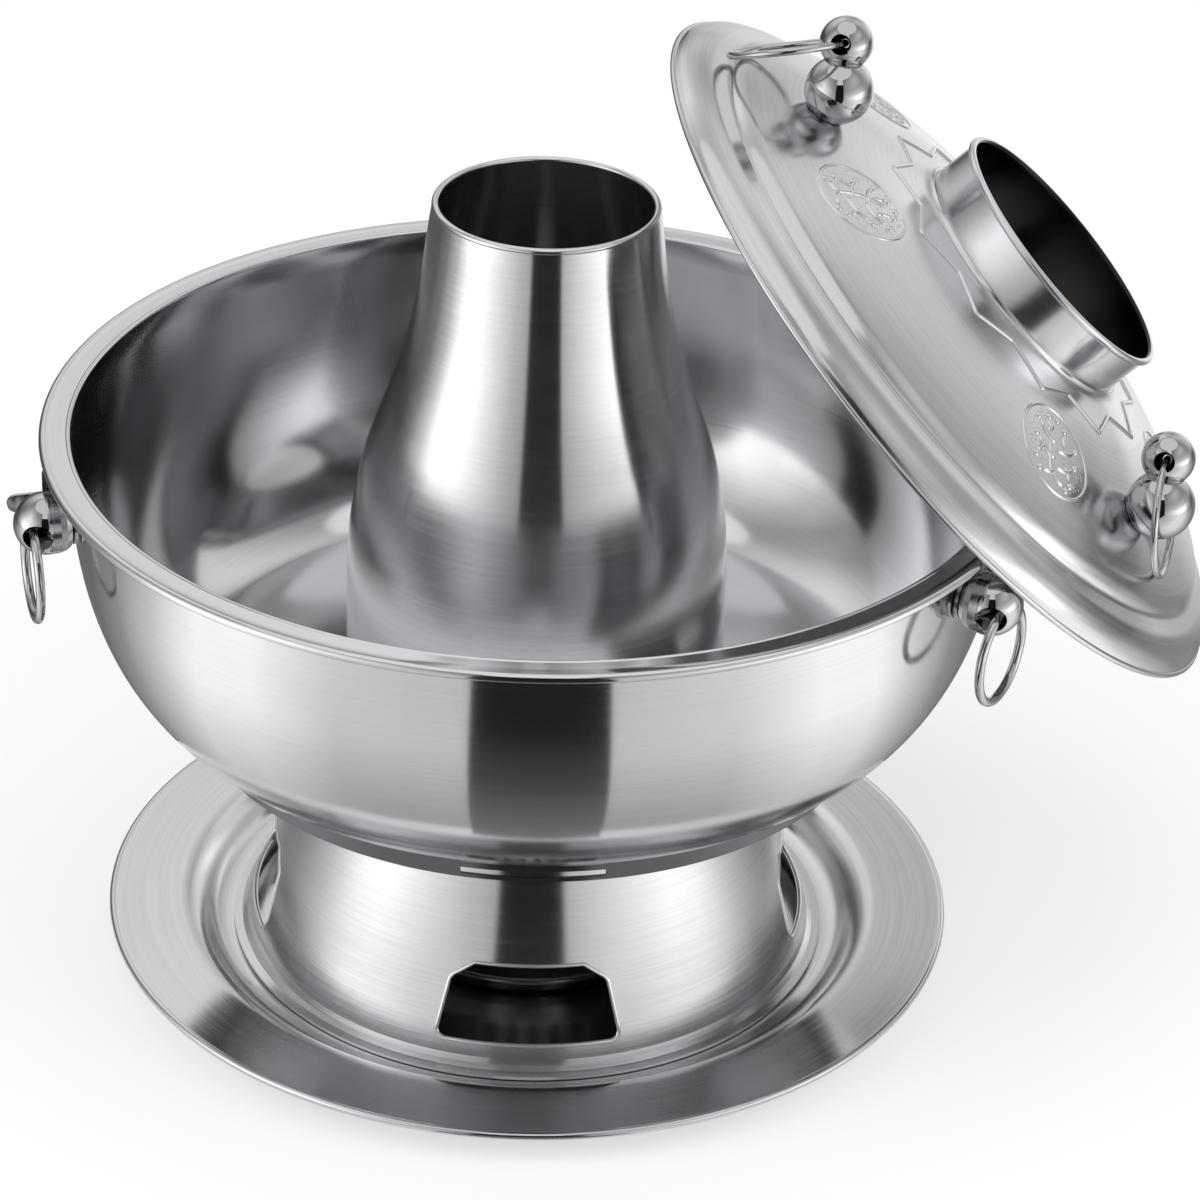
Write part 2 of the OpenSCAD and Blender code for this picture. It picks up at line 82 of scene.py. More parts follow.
# %% [markdown]
# ## Surfaces from arrays
# A spun shell is one profile carried round an axis, so it is a grid: one parameter runs along the
# profile, the other round the circle. numpy works out all its points at once, and `from_pydata`
# puts them into a mesh. The same helper then takes every other grid in this lesson.


# %% Grids
def grid_faces(rows, cols, wrap_rows, wrap_cols):
    """Quads between neighbouring grid points; a wrapped direction joins its last line to its first."""
    i = np.arange(rows if wrap_rows else rows - 1)
    j = np.arange(cols if wrap_cols else cols - 1)
    i, j = np.meshgrid(i, j, indexing="ij")
    a, b = i * cols + j, i * cols + (j + 1) % cols
    c, d = ((i + 1) % rows) * cols + (j + 1) % cols, ((i + 1) % rows) * cols + j
    quads = np.stack([a, b, c, d], -1).reshape(-1, 4)
    u = np.stack([j, j + 1, j + 1, j], -1).reshape(-1, 4) / cols
    v = np.stack([i, i, i + 1, i + 1], -1).reshape(-1, 4) / rows
    return quads, np.stack([u, v], -1)


def spin(profile, steps):
    """A closed profile of [radius, height] points carried round the z axis: x = r cos a, y = r sin a."""
    angle = np.linspace(0, 2 * np.pi, steps, endpoint=False)
    r, z = profile[:, 0][:, None], profile[:, 1][:, None]
    points = np.stack([r * np.cos(angle), r * np.sin(angle), z + 0 * angle], -1)
    quads, uvs = grid_faces(len(profile), steps, True, True)
    return points.reshape(-1, 3), quads, uvs


print("a grid of 4 by 6 points, closed both ways, has", len(grid_faces(4, 6, True, True)[0]), "faces")

# %% [markdown]
# A closed shell shows its outside only if its faces turn outwards. The volume tells: it comes out
# negative when they turn inwards, and then each face is read the other way round. Points that lie on
# the axis fall together, so they are merged, and bends sharper than a limit stay crisp.


# %% Grid to piece
MERGE_M = 1e-7


def signed_volume(points, quads):
    """A sixth of the sum of a . (b x c) over the triangles: negative when the faces point inwards."""
    p = points[quads]
    first = np.einsum("ij,ij->i", p[:, 0], np.cross(p[:, 1], p[:, 2]))
    second = np.einsum("ij,ij->i", p[:, 0], np.cross(p[:, 2], p[:, 3]))
    return float((first + second).sum() / 6)


def to_mesh(name, points, quads, uvs):
    """A mesh in metres from points in mm, quads and each quad corner's place on the UV map."""
    mesh = bpy.data.meshes.new(name)
    mesh.from_pydata(points * MM, [], quads.tolist())
    layer = mesh.uv_layers.new(name="UVMap")
    layer.data.foreach_set("uv", uvs.reshape(-1).astype(np.float32))
    return mesh


def smooth_piece(name, mesh, body):
    """An object with smooth shading that rides on the body."""
    mesh.polygons.foreach_set("use_smooth", np.ones(len(mesh.polygons), bool))
    piece = bpy.data.objects.new(name, mesh)
    bpy.context.scene.collection.objects.link(piece)
    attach(piece, body)
    print(name, "-", len(mesh.vertices), "points,", len(mesh.polygons), "faces")
    return piece


def make_piece(name, points, quads, uvs, body, sharp_deg=40.0):
    """A closed shell whose faces point outwards, smooth but for edges sharper than sharp_deg."""
    if signed_volume(points, quads) < 0:
        quads, uvs = quads[:, ::-1], uvs[:, ::-1]
    mesh = to_mesh(name, points, quads, uvs)
    work = bmesh.new()
    work.from_mesh(mesh)
    bmesh.ops.remove_doubles(work, verts=work.verts, dist=MERGE_M)
    work.to_mesh(mesh)
    work.free()
    piece = smooth_piece(name, mesh, body)
    mesh.set_sharp_from_angle(angle=math.radians(sharp_deg))
    return piece


HOOP = np.array([[20.0, 0.0], [30.0, 0.0], [30.0, 10.0], [20.0, 10.0]])
print("a square hoop turned the right way:", signed_volume(*spin(HOOP, 64)[:2]) > 0)

# %% [markdown]
# ## Sheet-metal profiles
# A press never leaves a knife-sharp corner. So each corner of a profile is replaced by a short
# curve, and the second face of the sheet is the first one moved along its normals. Rolled edges are
# arcs that join the two faces.


# %% Profile tools
def rounded(path, cut, samples=7):
    """Each inner corner becomes a quadratic Bezier curve that starts and ends `cut` mm from it."""
    path = np.asarray(path, float)
    out = [path[0]]
    for before, corner, after in zip(path, path[1:], path[2:]):
        a, b = before - corner, after - corner
        la, lb = np.linalg.norm(a), np.linalg.norm(b)
        # two curves never meet on a short stretch, since each takes less than half of it
        start = corner + a / la * min(cut, 0.45 * la)
        end = corner + b / lb * min(cut, 0.45 * lb)
        t = np.linspace(0, 1, samples)[:, None]
        out.extend((1 - t) ** 2 * start + 2 * t * (1 - t) * corner + t**2 * end)
    out.append(path[-1])
    return np.array(out)


def through(path, per):
    """A Catmull-Rom curve through the points: cubic pieces whose slope at a point joins its neighbours."""
    p = np.asarray(path, float)
    p = np.vstack([2 * p[0] - p[1], p, 2 * p[-1] - p[-2]])
    t = (np.arange(per) / per)[:, None]
    a, b, c, d = p[:-3, None], p[1:-2, None], p[2:-1, None], p[3:, None]
    curve = 0.5 * (
        2 * b + (c - a) * t + (2 * a - 5 * b + 4 * c - d) * t**2 + (3 * b - a - 3 * c + d) * t**3
    )
    return np.vstack([curve.reshape(-1, 2), p[-2]])


def beside(path, gap):
    """The path moved `gap` mm to the left of its direction, along averaged normals."""
    d = np.gradient(path, axis=0)
    d /= np.linalg.norm(d, axis=1)[:, None]
    return path + gap * np.stack([-d[:, 1], d[:, 0]], 1)


def arc(r, z, size, start, end, samples):
    """Points on a circle of radius size round [r, z], from angle start to end in degrees."""
    a = np.radians(np.linspace(start, end, samples))
    return np.stack([r + size * np.cos(a), z + size * np.sin(a)], 1)


def dense(path, step):
    """The same path with extra points, so that no stretch is longer than step mm."""
    out = []
    for a, b in zip(path, path[1:]):
        n = max(1, int(np.ceil(np.linalg.norm(b - a) / step)))
        out.extend(a + (b - a) * k / n for k in range(n))
    return np.array([*out, path[-1]])


SHEET = 1.2
print("sheet of", SHEET, "mm; a path with one rounded corner has",
      len(rounded([[0, 0], [10, 0], [10, 10]], SHEET)), "points")

# %% [markdown]
# ## The drip tray
# The tray is pressed from one disc: a flat floor, a sloping wall with soft bends and a wide flange
# with a rolled edge. Its bends carry the long highlights, so they are rounded more than the CAD's.

# %% Drip tray
TRAY_LINE = [[0, 1.2], [102, 1.2], [106.5, 2.2], [111.6, 8.2], [116, 10.8], [139.9, 10.8]]
TRAY_BEND = 3.2
TRAY_STEP = 4.0
TRAY_ROLL_AT = (140.7, 9.7)
TRAY_ROLL = 1.3

tray_top = dense(rounded(TRAY_LINE, TRAY_BEND), TRAY_STEP)
tray_under = beside(tray_top, -SHEET)
tray_under[0] = [0, 0]
tray_edge = arc(*TRAY_ROLL_AT, TRAY_ROLL, start=122, end=-175, samples=24)
tray_profile = np.vstack([tray_top, tray_edge, tray_under[::-1]])
drip_tray = make_piece("drip_tray_spun", *spin(tray_profile, steps=320), "tray")
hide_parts("drip_tray")

# %% [markdown]
# ## The bowl
# The wall of the bowl is a superellipse: its radius is 100 + 51.2 cos t while its depth is
# 97 (sin t)^(2/2.6), which is steep under the rim and sweeps into a flat bottom. A flange with a
# small bead inside and a rolled edge outside stiffens the rim.

# %% Bowl
RIM_Z = 187.9
BOTTOM_R = 100
WALL_REACH = 51.2
WALL_DEPTH = 97
WALL_POWER = 2.6
BOTTOM_Z = 90.9
TUBE_HOLE_R = 62.02
RIM_ROLL_AT, RIM_ROLL = (158.5, 186.6), 1.5
RIM_BEAD_AT, RIM_BEAD = (150.8, 187.3), 0.9

# t starts just above 0, so that the wall's first point is about 5 mm under the rim, clear of the flange
t = np.linspace(0.02, math.pi / 2, 60)
wall = np.stack([
    BOTTOM_R + WALL_REACH * np.cos(t), RIM_Z - WALL_DEPTH * np.sin(t) ** (2 / WALL_POWER)
], 1)
outer = np.vstack([wall, [[90, BOTTOM_Z], [76, BOTTOM_Z], [TUBE_HOLE_R, BOTTOM_Z]]])
inner = beside(outer, -SHEET)
inner[-1, 0] = TUBE_HOLE_R
flange_top = [[155.2, RIM_Z], [153.2, RIM_Z]]
flange_under = [[151.6, 186.75], [154.5, 186.7]]
bowl_profile = np.vstack([
    arc(*RIM_ROLL_AT, RIM_ROLL, start=-184, end=120, samples=26),
    flange_top,
    arc(*RIM_BEAD_AT, RIM_BEAD, start=42, end=205, samples=12),
    inner[1:],
    outer[::-1],
    flange_under,
])
bowl = make_piece("bowl_spun", *spin(bowl_profile, steps=384), "pot", sharp_deg=35)
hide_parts("pot_bowl")

# %% [markdown]
# ## The fire tube
# The tube is a cone that flares into a drum. The CAD gives its radius at some heights, and a
# Catmull-Rom curve joins them without kinks, so that the reflections run down it in one sweep.

# %% Fire tube
TUBE_LINE = [
    [35.9, 264.1], [36.8, 257.9], [38.1, 247.9], [39.6, 237.9], [41.3, 227.9], [43.5, 217.9],
    [46.2, 207.9], [49.5, 197.9], [53.1, 187.9], [56.3, 177.9], [58.7, 167.9], [60.4, 157.9],
    [61.5, 147.9], [62, 135.9], [62, 110], [62, 85.9],
]
TUBE_LIP_AT, TUBE_LIP = (34.85, 264.55), 1.15

tube_outer = through(TUBE_LINE, per=6)
tube_inner = beside(tube_outer, -SHEET)
tube_lip = arc(*TUBE_LIP_AT, TUBE_LIP, start=-24, end=262, samples=24)
tube_profile = np.vstack([tube_outer[::-1], tube_lip, tube_inner])
fire_tube = make_piece("fire_tube_spun", *spin(tube_profile, steps=256), "pot")
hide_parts("fire_tube")

# %% [markdown]
# ## The lid
# The lid is spun level in its own frame and then leaned on the rim by one matrix, the same three
# turns that the CAD uses. Its brim has a step, and the dome rises to the collar's seat.


# %% Lid pose
def turn(axis, degrees):
    """Rotation matrix about z or y by the right-hand rule."""
    c, s = math.cos(math.radians(degrees)), math.sin(math.radians(degrees))
    return np.array(
        [[c, -s, 0], [s, c, 0], [0, 0, 1]] if axis == "z" else [[c, 0, s], [0, 1, 0], [-s, 0, c]]
    )


LID_AT = np.array([131.8, 45.9, 196.4])
LID_BEARING, LID_TILT, LID_SPUN = -2.2, 45.8, -23
LID_TURN = turn("z", LID_BEARING) @ turn("y", LID_TILT) @ turn("z", LID_SPUN)


def lean(points):
    """Points of the lid's own frame, in mm, put where the leaning lid is."""
    return points @ LID_TURN.T + LID_AT


print("the lid leans", LID_TILT, "degrees")

# %% Lid face
LID_SHEET = 1.0
BRIM_LINE = [
    [132.9, 1.8], [132.4, 3.4], [130.6, 5.8], [127.9, 7.9], [124.6, 9.6], [117.3, 11.1],
    [116.2, 13.2], [113.9, 15.4], [110, 17.2],
]
DOME_LINE = [
    [110, 17.2], [105, 19.4], [100, 21.4], [95, 23.2], [90, 24.9], [85, 26.4], [80, 27.8],
    [75, 29.1], [70, 30.3], [65, 31.4], [60, 32.3], [56, 32.9], [52, 33.5], [48.6, 34.2],
    [46.8, 35.2], [46.2, 36.4],
]
LID_ROLL_AT, LID_ROLL = (133.1, 0.9), 0.9

brim = rounded(BRIM_LINE, cut=1.6, samples=6)
dome = through(DOME_LINE, per=5)
lid_face = np.vstack([brim[:-1], dome])
lid_back = beside(lid_face, LID_SHEET)
lid_edge = arc(*LID_ROLL_AT, LID_ROLL, start=180, end=460, samples=22)
lid_profile = np.vstack([lid_face, lid_back[::-1], lid_edge])
points, quads, uvs = spin(lid_profile, steps=320)
lid = make_piece("lid_spun", lean(points), quads, uvs, "lid", sharp_deg=45)
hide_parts("lid_shell")
print("lid rises to", round(float(lid_face[:, 1].max()), 1), "mm")

# %% [markdown]
# ## Embossed lines
# The zigzag, the medallions' borders and their sprigs are raised lines. Each is a strip that follows
# a path on the lid: across it the height is a cosine arch, so it catches light on both flanks. The
# strip's ends and edges dip just under the sheet, which hides the joint.

# %% Raised strips
LINE_STEP = 0.9
LINE_SINK = 0.06
# an open line narrows over an eighth of its length at each end, down to a blunt tip
TAPER, TIP = 8, 0.15
lid_rise = lid_face[::-1]


def on_lid(flat, rise):
    """Points [x, y] of the lid's plane lifted to its face plus rise mm."""
    r = np.hypot(flat[..., 0], flat[..., 1])
    return np.dstack([flat, np.interp(r, lid_rise[:, 0], lid_rise[:, 1]) + rise])


def strip(path, width, rise, closed=False, across=7):
    """A raised line along the path: offset s across it, height rise cos(pi s / 2) less a small sink."""
    path = dense(np.vstack([path, path[:1]]) if closed else np.asarray(path, float), LINE_STEP)
    if closed:
        path = path[:-1]
        d = np.roll(path, -1, 0) - np.roll(path, 1, 0)
    else:
        d = np.gradient(path, axis=0)
    d /= np.linalg.norm(d, axis=1)[:, None]
    normal = np.stack([-d[:, 1], d[:, 0]], 1)
    s = np.linspace(-1, 1, across)
    fade = np.ones(len(path))
    if not closed:
        k = np.linspace(0, 1, len(path))
        fade = np.clip(np.minimum(k, 1 - k) * TAPER, TIP, 1)
    flat = path[:, None] + normal[:, None] * (s[None, :, None] * width / 2 * fade[:, None, None])
    up = rise * np.cos(np.pi * s / 2)[None] * fade[:, None] - LINE_SINK
    quads, uvs = grid_faces(len(path), across, closed, False)
    return lean(on_lid(flat, up).reshape(-1, 3)), quads, uvs


print("lines get a point every", LINE_STEP, "mm and are sunk by", LINE_SINK, "mm")

# %% [markdown]
# Many strips make one ornament, so they are joined into one mesh. A strip is open underneath and has
# no volume to tell its outside by: its faces are turned so that they look along the lid's own axis.


# %% Joined relief
def join(parts):
    """Several grids as one: their points stacked, and their faces counted on."""
    points, quads, uvs, count = [], [], [], 0
    for p, q, w in parts:
        points.append(p)
        quads.append(q + count)
        uvs.append(w)
        count += len(p)
    return np.vstack(points), np.vstack(quads), np.vstack(uvs)


def face_up(parts):
    """Turns each open strip so that its faces look away from the lid."""
    axis = LID_TURN[:, 2]
    out = []
    for p, q, w in parts:
        a, b, c = p[q[:, 0]], p[q[:, 1]], p[q[:, 2]]
        looks = np.cross(b - a, c - a) @ axis
        out.append((p, q, w) if looks.sum() > 0 else (p, q[:, ::-1], w[:, ::-1]))
    return out


def relief_piece(name, parts):
    """One mesh of several raised strips, riding on the lid."""
    return smooth_piece(name, to_mesh(name, *join(face_up(parts))), "lid")


def unit_circle(step):
    """Points (cos a, sin a) round a circle of radius 1, every step degrees."""
    a = np.radians(np.arange(0, 360, float(step)))
    return np.stack([np.cos(a), np.sin(a)], 1)


print("the lid's own axis points to", LID_TURN[:, 2].round(2))

# %% [markdown]
# The zigzag is a twelve-pointed star round the collar, a common ornament on such lids.

# %% Zigzag
TEETH = 12
ZIGZAG_OUT, ZIGZAG_IN = 62.1, 53.6
ZIGZAG_WIDTH, ZIGZAG_RISE = 1.9, 0.75

corner = np.radians(np.arange(2 * TEETH) * (180 / TEETH))
reach = np.where(np.arange(2 * TEETH) % 2 == 0, ZIGZAG_OUT, ZIGZAG_IN)
star = np.stack([reach * np.cos(corner), reach * np.sin(corner)], 1)
zigzag = relief_piece("lid_zigzag", [strip(star, ZIGZAG_WIDTH, ZIGZAG_RISE, closed=True)])

# %% [markdown]
# Each medallion has a round border, a sprig with side twigs and buds, and a stippled ground. The
# sprig is a plain plant ornament, drawn here from a bent stem and short twigs on both sides.


# %% Sprig
def bend(start, end, belly, n=9):
    """A bent line from start to end whose middle is pushed sideways by belly."""
    start, end = np.asarray(start, float), np.asarray(end, float)
    k = np.linspace(0, 1, n)[:, None]
    side = np.array([-(end - start)[1], (end - start)[0]])
    return start + (end - start) * k + side * belly * 4 * k * (1 - k)


twigs = [
    bend((-1.5, -12), (0.5, 11.5), 0.10),
    bend((-0.6, -6), (8.5, -1.5), -0.18), bend((-0.2, -3.5), (-8.5, 0.5), 0.18),
    bend((0, 1), (8.8, 5.5), -0.16), bend((0.1, 3), (-7.6, 7.6), 0.16),
    bend((4.5, -3.7), (6.8, -8), 0.15), bend((-4.6, -1.6), (-8.4, -6), -0.15),
    bend((4.8, 3.6), (4.4, 9.4), 0.12), bend((-4.0, 5.6), (-3.6, 10.4), -0.12),
    bend((-1.2, -9), (4.2, -11.2), -0.15), bend((-1.1, -8.6), (-6.4, -10.4), 0.15),
]
buds = np.array([
    (9.6, -0.6), (-9.6, 1.3), (10, 6.4), (-8.6, 8.7), (7.5, -9.2), (-9.4, -7), (4.4, 10.9),
    (-3.4, 11.9), (0.8, 13), (5.6, -12), (-7.6, -11.3),
])
print("a sprig has", len(twigs), "lines and", len(buds), "buds")

# %% [markdown]
# The five medallions stand evenly round the lid, each with its foot towards the brim. The ground is
# sown with random spots from a fixed seed, and the spots that would touch the sprig are left out.

# %% Medallions
MEDALS = 5
MEDAL_R = 16.5
MEDAL_AT = 84.0
BORDER_IN, BORDER_WIDTH, BORDER_RISE = 0.5, 1.2, 0.5
TWIG_WIDTH, TWIG_RISE = 1.7, 0.72
BUD_R, BUD_WIDTH, BUD_RISE = 0.75, 1.0, 0.62
GROUND_R = MEDAL_R - 2.2
SPOTS_SOWN = 420
SPOT_CLEAR = 1.9
GRAIN_SEED = 7

border_circle = unit_circle(5)
bud_circle = unit_circle(45)
sprig_points = np.vstack([*twigs, buds])
grain = np.random.default_rng(GRAIN_SEED)
borders, sprigs, ground = [], [], []


def on_medal(p, centre, side_axis, up_axis):
    """A medallion's own point (x, y) on the lid's plane: centre + x side_axis + y up_axis."""
    return centre + p[..., :1] * side_axis + p[..., 1:] * up_axis


for i in range(MEDALS):
    a = math.radians(90 + 360 / MEDALS * i)
    centre = MEDAL_AT * np.array([math.cos(a), math.sin(a)])
    # the medallion's own axes: y points to the lid's middle
    axes = (centre, np.array([-math.sin(a), math.cos(a)]), -centre / MEDAL_AT)
    borders.append(
        strip(centre + border_circle * (MEDAL_R - BORDER_IN), BORDER_WIDTH, BORDER_RISE, closed=True)
    )
    sprigs.extend(strip(on_medal(line, *axes), TWIG_WIDTH, TWIG_RISE) for line in twigs)
    sprigs.extend(
        strip(on_medal(b + BUD_R * bud_circle, *axes), BUD_WIDTH, BUD_RISE, closed=True, across=5)
        for b in buds
    )
    spots = grain.uniform(-1, 1, (SPOTS_SOWN, 2)) * GROUND_R
    spots = spots[np.hypot(spots[:, 0], spots[:, 1]) < GROUND_R]
    away = np.hypot(*(spots[:, None] - sprig_points[None]).transpose(2, 0, 1)).min(1)
    ground.append(on_medal(spots[away > SPOT_CLEAR], *axes))
medal_borders = relief_piece("lid_medal_borders", borders)
medal_sprigs = relief_piece("lid_medal_sprigs", sprigs)

# %% [markdown]
# A punch with a rough face gives the medallions their dull ground. Each of its dots is a low
# six-sided bump: two rings of points and one point on top. All dots share one small pattern of
# faces, counted on from dot to dot, so that hundreds of them stay light.

# %% Stippled ground
DOT_SIDES = 6
DOT_R = 0.42
DOT_RINGS = np.array([1.0, 0.62])
DOT_RISE = [-0.05, 0.08, 0.12]

spots = np.vstack(ground)
offsets = np.concatenate([
    (DOT_RINGS[:, None, None] * DOT_R * unit_circle(360 / DOT_SIDES)).reshape(-1, 2), [[0.0, 0.0]]
])
heights = np.repeat(DOT_RISE, [DOT_SIDES, DOT_SIDES, 1])
flat = spots[:, None] + offsets[None]
stipple_points = lean(on_lid(flat, np.broadcast_to(heights, flat.shape[:2])).reshape(-1, 3))
k = np.arange(DOT_SIDES)
side = np.stack([k, (k + 1) % DOT_SIDES, DOT_SIDES + (k + 1) % DOT_SIDES, DOT_SIDES + k], 1)
# three quads close the top, each from the middle point over two sides
k = k[::2]
middle = np.full(len(k), len(offsets) - 1)
cap = np.stack(
    [DOT_SIDES + k, DOT_SIDES + (k + 1) % DOT_SIDES, DOT_SIDES + (k + 2) % DOT_SIDES, middle], 1
)
one_dot = np.vstack([side, cap])
stipple_quads = (one_dot[None] + len(offsets) * np.arange(len(spots))[:, None, None]).reshape(-1, 4)
no_uvs = np.zeros((len(stipple_quads), 4, 2))
stipple = relief_piece("lid_medal_stipple", [(stipple_points, stipple_quads, no_uvs)])

# %% [markdown]
# ## Edges of the air openings
# A punched opening in sheet steel is deburred, and its rounded edge shows as a fine bright line. Here
# it is a thin tube that follows the opening's outline on the cone, once for each of the four sides.
# The tube's round catches light, and its lighter steel adds a painted highlight.

# %% Opening edges
CONE_TOP, CONE_LOW = np.array([69.5, 89.08]), np.array([94.6, 5.7])
OPENING_HALF = np.array(
    [[27.2, 10.1], [29, 10.9], [29.6, 12.7], [25.5, 29.6], [24.3, 31.2], [17.5, 35.9]]
)
OPENING_STEP = 2.0
EDGE_R, EDGE_SINK = 0.65, 0.25


def tube(path, size, sides=8):
    """A closed tube round the path: each point gets a circle in the plane across the path."""
    ahead = np.roll(path, -1, 0) - np.roll(path, 1, 0)
    ahead /= np.linalg.norm(ahead, axis=1)[:, None]
    out = path * [1, 1, 0]
    out /= np.linalg.norm(out, axis=1)[:, None]
    side = np.cross(ahead, out)
    side /= np.linalg.norm(side, axis=1)[:, None]
    out = np.cross(side, ahead)
    a = np.radians(np.arange(sides) * 360 / sides)[None, :, None]
    points = path[:, None] + size * (np.cos(a) * out[:, None] + np.sin(a) * side[:, None])
    quads, uvs = grid_faces(len(path), sides, True, True)
    return points.reshape(-1, 3), quads, uvs


opening = np.vstack([OPENING_HALF, OPENING_HALF[::-1] * [-1, 1]])
opening = dense(np.vstack([opening, opening[:1]]), OPENING_STEP)[:-1]
# the cone's radius falls evenly with height, and the sheet's outer face bends round the axis
x, z = opening[:, 0], opening[:, 1]
cone_r = CONE_LOW[0] + (CONE_TOP[0] - CONE_LOW[0]) * (z - CONE_LOW[1]) / (CONE_TOP[1] - CONE_LOW[1])
edge = np.stack([x, -np.sqrt((cone_r - EDGE_SINK) ** 2 - x**2), z], 1)
edge_tubes = [tube(edge @ turn("z", bearing).T, EDGE_R) for bearing in (0, 90, 180, 270)]
opening_edges = make_piece("stand_opening_edges", *join(edge_tubes), "stand")

# %% [markdown]
# ## Steel
# All of it is stainless steel, and the finish makes the difference. Hairline steel is brushed round
# the axis: its fine scratches blur a reflection across themselves and leave it sharp along, which is
# anisotropy. Polished steel is nearly a mirror. The grate and the ash pan have been in the fire and
# are dark. Three small helpers come first: one turns a hex colour into the linear light that shaders
# count in, one adds a node with its settings and links, and one starts an empty material.


# %% Colours and nodes
def srgb(hex_code):
    """An sRGB hex colour as linear RGBA."""
    c = np.array([int(hex_code[i:i + 2], 16) for i in (1, 3, 5)]) / 255
    return (*np.where(c <= 0.04045, c / 12.92, ((c + 0.055) / 1.055) ** 2.4), 1.0)


def add(tree, kind, links=(), **settings):
    """A node with its settings; links are (input, socket) pairs, and inputs are set as in_NAME."""
    node = tree.nodes.new(kind)
    for key, value in settings.items():
        if key.startswith("in_"):
            name = key[3:].replace("_", " ")
            node.inputs[int(name) if name.isdigit() else name].default_value = value
        else:
            setattr(node, key, value)
    for name, socket in links:
        tree.links.new(socket, node.inputs[name])
    return node


def blank(name):
    """A material whose node tree is still empty."""
    made = bpy.data.materials.new(name)
    made.use_nodes = True
    made.node_tree.nodes.clear()
    return made


print("half grey #808080 is", round(float(srgb("#808080")[0]), 2), "in linear light")

# %% [markdown]
# ## Scratches round an axis
# A turned or spun part is brushed while it turns, so its scratches are circles round its axis. The
# pattern is noise on cylinder coordinates: fine over radius and height, long over the angle. Real
# hairlines lie about 0.1 mm apart, which is too fine for this picture. So the coarsest here are
# about 1.1 mm apart, with two finer sets between them down to 0.3 mm, as coarse as they need to
# be to show.

# %% Scratches
SCRATCHES_PER_M = 900.0
# at the rim, 160 mm from the axis, a scratch is about 10 cm long; at the tube's mouth about 2 cm
SCRATCHES_PER_RADIAN = 1.6
SCRATCH_DEPTH = 0.00008


def round_axis(tree, at, turned):
    """Cylinder coordinates about a piece's own axis: distance from it, height along it, angle round
    it, and as fourth the straight coordinates that they come from."""
    where = add(tree, "ShaderNodeTexCoord")
    shift = add(tree, "ShaderNodeVectorMath", [(0, where.outputs["Object"])],
                operation="SUBTRACT", in_1=tuple(at))
    local = add(tree, "ShaderNodeVectorRotate", [("Vector", shift.outputs[0])],
                rotation_type="EULER_XYZ", invert=True, in_Rotation=turned)
    xyz = add(tree, "ShaderNodeSeparateXYZ", [(0, local.outputs[0])])
    flat = add(tree, "ShaderNodeCombineXYZ", [(0, xyz.outputs[0]), (1, xyz.outputs[1])])
    radius = add(tree, "ShaderNodeVectorMath", [(0, flat.outputs[0])], operation="LENGTH")
    angle = add(tree, "ShaderNodeMath", [(0, xyz.outputs[1]), (1, xyz.outputs[0])],
                operation="ARCTAN2")
    return radius.outputs["Value"], xyz.outputs[2], angle.outputs[0], local.outputs[0]


def scratches(tree, radius, height, angle):
    """Noise at (radius, height) times the count per metre, and angle times the count per radian."""
    across = add(tree, "ShaderNodeCombineXYZ", [(0, radius), (1, height)])
    across = add(tree, "ShaderNodeVectorMath", [(0, across.outputs[0])], operation="SCALE",
                 in_Scale=SCRATCHES_PER_M)
    about = add(tree, "ShaderNodeMath", [(0, angle)], operation="MULTIPLY",
                in_1=SCRATCHES_PER_RADIAN)
    about = add(tree, "ShaderNodeCombineXYZ", [(2, about.outputs[0])])
    place = add(tree, "ShaderNodeVectorMath", [(0, across.outputs[0]), (1, about.outputs[0])],
                operation="ADD")
    return add(tree, "ShaderNodeTexNoise", [("Vector", place.outputs[0])], in_Scale=1.0,
               in_Detail=2.0, in_Roughness=0.6).outputs[0]


print("coarsest scratches:", round(1000 / SCRATCHES_PER_M, 1), "mm apart")

# %% [markdown]
# One function makes every steel. Scratches and wear change its roughness a little about the value
# asked for. Scratches also darken it in their grooves, or soot darkens it in patches. On a brushed
# finish the tangent says which way the scratches run: along the UV map's first direction on the spun
# shells, round z elsewhere.

# %% Steel
# wear: soft patches about 3 cm across, where hands and cloths have been
PATCHES_PER_M = 34.0
SCRATCH_ROUGHNESS = 0.12
GROOVE_DARKENS, SOOT_DARKENS = 0.6, 0.5
NOISE_LOW, NOISE_HIGH = 0.3, 0.7
# the brown of the painted shade inside the collar's recess
INNER_SHADE_BROWN = "#2E2C2B"
# a quarter turn lays the blur across the scratches
QUARTER_TURN = 0.25


def painted_inner_shade(tree, colour, radius, dark_inside):
    """The colour with painted shade inside: within two radii in metres it fades to brown."""
    inside = add(tree, "ShaderNodeMapRange", [(0, radius)], in_1=dark_inside[0],
                 in_2=dark_inside[1], in_3=1.0, in_4=0.0)
    return add(tree, "ShaderNodeMix", [(0, inside.outputs[0]), (6, colour)], data_type="RGBA",
               in_7=srgb(INNER_SHADE_BROWN)).outputs[2]


